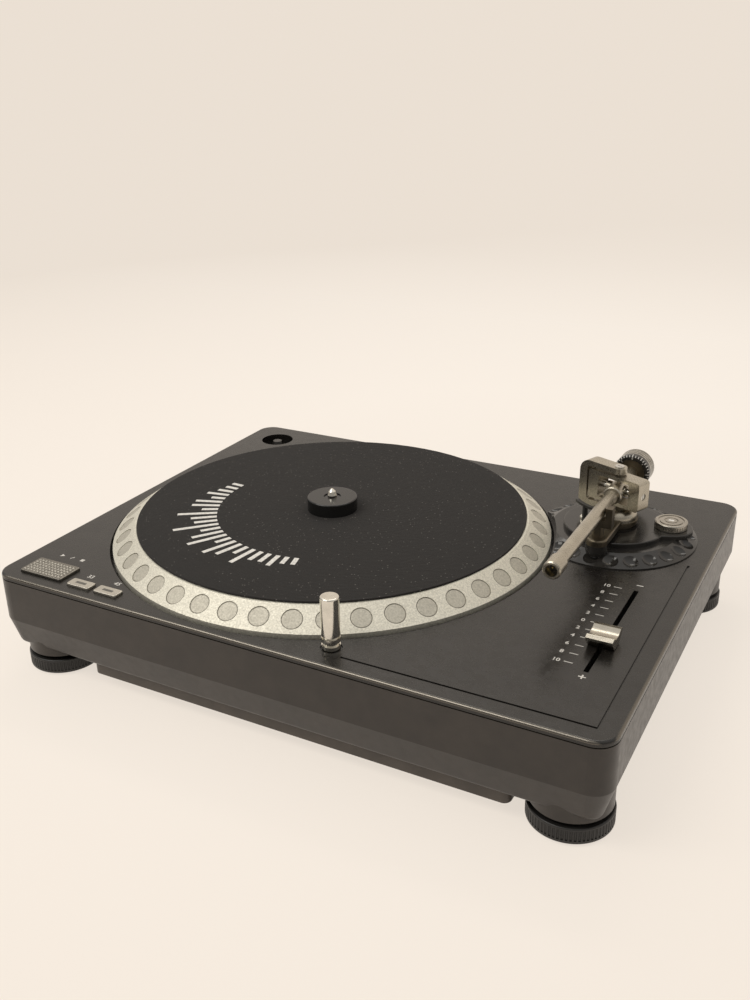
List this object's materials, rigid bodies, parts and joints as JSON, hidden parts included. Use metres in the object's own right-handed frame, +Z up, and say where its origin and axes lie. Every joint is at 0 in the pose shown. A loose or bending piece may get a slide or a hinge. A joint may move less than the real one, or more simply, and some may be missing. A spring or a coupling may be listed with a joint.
{
  "type": "turntable record player",
  "caption": "Flat direct-drive record player with a spinning platter, felt mat, counterweighted tonearm, pitch slider, push buttons, pop-up lamp and screw feet.",
  "frame": {"origin": "on the floor under the middle of the plinth", "axes": "+X to the right seen from the front, +Y to the back, +Z up"},
  "size_m": [0.45, 0.352, 0.133],
  "materials": {
    "deck_paint": "satin charcoal texture paint",
    "plinth_plastic": "fine grained charcoal",
    "black_plastic": "fine grained black",
    "black_gloss": "polished black",
    "foot_rubber": "ribbed black",
    "platter_alloy": "satin cast",
    "felt": "black felt",
    "arm_alloy": "satin nickel",
    "steel": "bright",
    "chrome": "polished",
    "black_steel": "blackened",
    "button_grey": "light grey",
    "bronze": "oiled bronze",
    "magnet": "sintered",
    "lamination": "stacked steel",
    "copper": "enamelled copper wire",
    "board": "green circuit board",
    "gold": "gold plate",
    "lamp": "clear lens"
  },
  "bodies": {
    "base": {"top_cover": "deck_paint", "plinth": "plinth_plastic", "bottom_cover": "black_plastic", "machine_screws": "steel", "main_board": "board", "transformer": "lamination", "terminal_panel": "black_plastic", "power_inlet": "black_plastic", "switch_frame": "black_plastic", "signal_jacks": "gold", "ground_stud": "steel", "bearing_housing": "bronze", "thrust_pad": "black_plastic", "motor_board": "board", "stator_core": "lamination", "stator_coils": "copper", "button_board": "board", "button_switches": "black_plastic", "target_light_sleeve": "black_plastic", "pitch_fader": "black_plastic", "arm_bezel": "black_plastic", "arm_base_plate": "black_plastic", "arm_pedestal": "arm_alloy", "gimbal_yoke": "arm_alloy", "vertical_pivots": "steel"},
    "platter_body": {"platter": "platter_alloy", "spindle": "chrome", "rotor_magnet": "magnet"},
    "mat_body": {"slipmat": "felt"},
    "adaptor_body": {"single_adaptor": "black_gloss"},
    "start_stop_key": {"start_stop_button": "button_grey"},
    "speed_33_key": {"speed_33_button": "button_grey"},
    "speed_45_key": {"speed_45_button": "button_grey"},
    "target_light": {"target_light_post": "chrome", "target_lamp": "lamp"},
    "pitch_slider": {"pitch_knob": "arm_alloy"},
    "gimbal": {"gimbal_frame": "arm_alloy", "side_pivot_screws": "steel"},
    "arm": {"arm_hub": "arm_alloy", "arm_tube": "arm_alloy", "contact_block": "black_plastic", "contact_pins": "gold", "rear_stub": "arm_alloy"},
    "head_collar": {"arm_collar": "arm_alloy"},
    "weight_carrier": {"weight_bush": "arm_alloy"},
    "weight": {"counterweight": "chrome"},
    "dial": {"force_dial": "black_plastic"},
    "anti_skate": {"anti_skate_knob": "arm_alloy"},
    "cue_platform": {"cue_lift": "black_steel"},
    "cue_handle": {"cue_lever": "black_steel"},
    "mains_rocker": {"power_rocker": "black_gloss"},
    "ground_thumb_nut": {"ground_nut": "steel"},
    "pad_front_left": {"foot_pad_front_left": "foot_rubber"},
    "wheel_front_left": {"foot_front_left": "black_plastic"},
    "pad_front_right": {"foot_pad_front_right": "foot_rubber"},
    "wheel_front_right": {"foot_front_right": "black_plastic"},
    "pad_back_left": {"foot_pad_back_left": "foot_rubber"},
    "wheel_back_left": {"foot_back_left": "black_plastic"},
    "pad_back_right": {"foot_pad_back_right": "foot_rubber"},
    "wheel_back_right": {"foot_back_right": "black_plastic"}
  },
  "joints": [
    {"name": "platter_spin", "type": "hinge", "parent": "base", "child": "platter_body", "pos_m": [-0.0461, -0.0016, 0.08], "axis": [0, 0, 1], "continuous": true},
    {"name": "mat_slip", "type": "hinge", "parent": "platter_body", "child": "mat_body", "pos_m": [-0.0461, -0.0016, 0.0925], "axis": [0, 0, 1], "continuous": true},
    {"name": "adaptor_lift", "type": "slide", "parent": "platter_body", "child": "adaptor_body", "axis": [0, 0, 1], "range_m": [0, 0.03]},
    {"name": "arm_swing", "type": "hinge", "parent": "base", "child": "gimbal", "pos_m": [0.151, 0.0795, 0.115], "axis": [0, 0, 1], "range_deg": [-48, 0]},
    {"name": "arm_tilt", "type": "hinge", "parent": "gimbal", "child": "arm", "pos_m": [0.151, 0.0795, 0.115], "axis": [-0.9291, 0.3697, 0], "range_deg": [0, 10]},
    {"name": "collar_turn", "type": "hinge", "parent": "arm", "child": "head_collar", "pos_m": [0.151, -0.0605, 0.115], "axis": [0, 1, 0], "range_deg": [-90, 90]},
    {"name": "weight_travel", "type": "slide", "parent": "arm", "child": "weight_carrier", "axis": [0, 1, 0], "range_m": [-0.006, 0.002]},
    {"name": "weight_turn", "type": "hinge", "parent": "weight_carrier", "child": "weight", "pos_m": [0.151, 0.1255, 0.115], "axis": [0, 1, 0], "range_deg": [-1440, 480]},
    {"name": "dial_turn", "type": "hinge", "parent": "weight_carrier", "child": "dial", "pos_m": [0.151, 0.1175, 0.115], "axis": [0, 1, 0], "continuous": true},
    {"name": "anti_skate_turn", "type": "hinge", "parent": "base", "child": "anti_skate", "pos_m": [0.19, 0.0885, 0.09], "axis": [0, 0, 1], "range_deg": [0, 270]},
    {"name": "cue_lever_turn", "type": "hinge", "parent": "base", "child": "cue_handle", "pos_m": [0.13495, 0.05321, 0.09], "axis": [0, 0, 1], "range_deg": [0, 45]},
    {"name": "cue_drop", "type": "slide", "parent": "base", "child": "cue_platform", "axis": [0, 0, 1], "range_m": [-0.005, 0]},
    {"name": "pitch_slide", "type": "slide", "parent": "base", "child": "pitch_slider", "axis": [0, 1, 0], "range_m": [-0.03, 0.0715]},
    {"name": "target_pop", "type": "slide", "parent": "base", "child": "target_light", "axis": [0, 0, 1], "range_m": [-0.03, 0]},
    {"name": "power_rock", "type": "hinge", "parent": "base", "child": "mains_rocker", "pos_m": [0.083, 0.162, 0.0455], "axis": [1, 0, 0], "range_deg": [-18, 0]},
    {"name": "ground_nut_turn", "type": "hinge", "parent": "base", "child": "ground_thumb_nut", "pos_m": [0.147, 0.165, 0.0455], "axis": [0, 1, 0], "range_deg": [-720, 0]},
    {"name": "start_stop_press", "type": "slide", "parent": "base", "child": "start_stop_key", "axis": [0, 0, 1], "range_m": [-0.0015, 0], "stiffness_N_per_m": 300, "springref_m": 0.001},
    {"name": "speed_33_press", "type": "slide", "parent": "base", "child": "speed_33_key", "axis": [0, 0, 1], "range_m": [-0.0015, 0], "stiffness_N_per_m": 300, "springref_m": 0.001},
    {"name": "speed_45_press", "type": "slide", "parent": "base", "child": "speed_45_key", "axis": [0, 0, 1], "range_m": [-0.0015, 0], "stiffness_N_per_m": 300, "springref_m": 0.001},
    {"name": "rise_front_left", "type": "slide", "parent": "base", "child": "pad_front_left", "axis": [0, 0, 1], "range_m": [-0.006, 0]},
    {"name": "turn_front_left", "type": "hinge", "parent": "pad_front_left", "child": "wheel_front_left", "pos_m": [-0.1957, -0.146, 0.006], "axis": [0, 0, 1], "range_deg": [-1440, 0]},
    {"name": "rise_front_right", "type": "slide", "parent": "base", "child": "pad_front_right", "axis": [0, 0, 1], "range_m": [-0.006, 0]},
    {"name": "turn_front_right", "type": "hinge", "parent": "pad_front_right", "child": "wheel_front_right", "pos_m": [0.1957, -0.146, 0.006], "axis": [0, 0, 1], "range_deg": [-1440, 0]},
    {"name": "rise_back_left", "type": "slide", "parent": "base", "child": "pad_back_left", "axis": [0, 0, 1], "range_m": [-0.006, 0]},
    {"name": "turn_back_left", "type": "hinge", "parent": "pad_back_left", "child": "wheel_back_left", "pos_m": [-0.1957, 0.146, 0.006], "axis": [0, 0, 1], "range_deg": [-1440, 0]},
    {"name": "rise_back_right", "type": "slide", "parent": "base", "child": "pad_back_right", "axis": [0, 0, 1], "range_m": [-0.006, 0]},
    {"name": "turn_back_right", "type": "hinge", "parent": "pad_back_right", "child": "wheel_back_right", "pos_m": [0.1957, 0.146, 0.006], "axis": [0, 0, 1], "range_deg": [-1440, 0]}
  ],
  "couplings": [
    {"joint": "weight_travel", "follows": "weight_turn", "m_per_rad": 0.00023873},
    {"joint": "cue_lever_turn", "follows": "cue_drop", "rad_per_m": -157.08},
    {"joint": "rise_front_left", "follows": "turn_front_left", "m_per_rad": 0.00023873},
    {"joint": "rise_front_right", "follows": "turn_front_right", "m_per_rad": 0.00023873},
    {"joint": "rise_back_left", "follows": "turn_back_left", "m_per_rad": 0.00023873},
    {"joint": "rise_back_right", "follows": "turn_back_right", "m_per_rad": 0.00023873}
  ]
}
